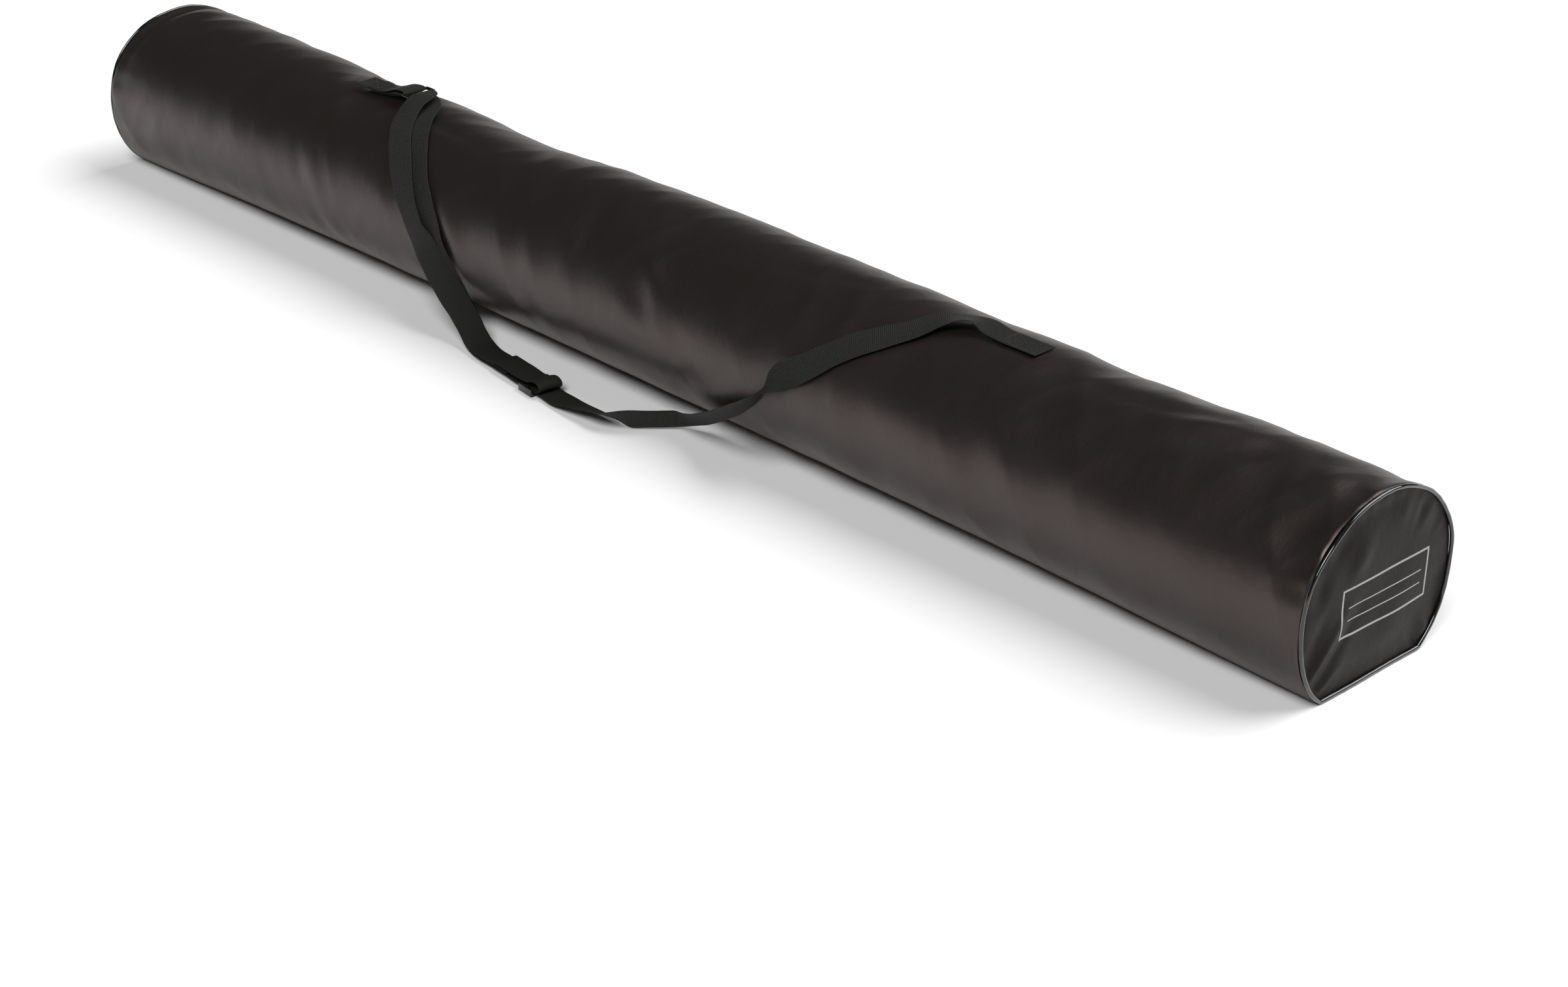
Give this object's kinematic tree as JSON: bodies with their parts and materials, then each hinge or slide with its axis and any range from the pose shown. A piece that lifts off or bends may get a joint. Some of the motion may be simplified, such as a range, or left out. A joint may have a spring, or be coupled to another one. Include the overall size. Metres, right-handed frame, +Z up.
{
  "type": "drawing tube bag",
  "caption": "Long soft tubular carry bag with flat end panels, piped end seams, a lengthwise zip and an adjustable webbing shoulder strap with a ring and a slide adjuster.",
  "frame": {"origin": "on the resting surface, under the middle of the bag", "axes": "+X along the bag towards the near end panel, -Y towards the side that the strap hangs on, +Z up"},
  "size_m": [1.9, 0.2845, 0.2056],
  "materials": {
    "black_nylon": "fine plain-woven coated nylon, soft sheen",
    "piping_vinyl": "glossy black vinyl piping",
    "zip_tape_cloth": "flat woven tape",
    "zip_coil_nylon": "nylon coil",
    "slider_enamel": "black enamelled metal",
    "strap_webbing_cloth": "coarse plain-woven webbing",
    "hardware_plastic": "moulded black plastic"
  },
  "bodies": {
    "bag": {"body_panel": "black_nylon", "near_end_panel": "black_nylon", "far_end_panel": "black_nylon", "near_piping": "piping_vinyl", "far_piping": "piping_vinyl", "near_seam_binding": "zip_tape_cloth", "far_seam_binding": "zip_tape_cloth", "near_anchor_patch": "black_nylon", "far_anchor_patch": "black_nylon", "zip_tape_upper": "zip_tape_cloth", "zip_tape_lower": "zip_tape_cloth", "zip_coil_upper": "zip_coil_nylon", "zip_coil_lower": "zip_coil_nylon", "zip_top_stop_upper": "slider_enamel", "zip_top_stop_lower": "slider_enamel", "zip_bottom_stop": "slider_enamel", "zip_end_tab_near": "black_nylon", "zip_end_tab_far": "black_nylon", "strap_sewn_end": "strap_webbing_cloth", "far_anchor_tab": "strap_webbing_cloth"},
    "slider": {"zip_slider": "slider_enamel"},
    "pull": {"zip_pull": "slider_enamel"},
    "strap": {"strap_webbing": "strap_webbing_cloth", "anchor_ring": "hardware_plastic", "far_anchor_loop": "strap_webbing_cloth"},
    "adjuster": {"strap_adjuster": "hardware_plastic", "adjuster_loop": "strap_webbing_cloth"}
  },
  "joints": [
    {"name": "zip_travel", "type": "slide", "parent": "bag", "child": "slider", "axis": [1, 0, 0], "range_m": [-1.561, 0]},
    {"name": "pull_swing", "type": "hinge", "parent": "slider", "child": "pull", "pos_m": [0.78, 0.10086, 0.13637], "axis": [0, 0.51, -0.8602], "range_deg": [0, 165]},
    {"name": "strap_swing", "type": "hinge", "parent": "bag", "child": "strap", "pos_m": [0, 0.02, 0.2], "axis": [-1, 0, 0], "range_deg": [0, 140]},
    {"name": "adjuster_slide", "type": "slide", "parent": "strap", "child": "adjuster", "axis": [0.9925, -0.1219, 0], "range_m": [-0.03, 0.02]}
  ]
}
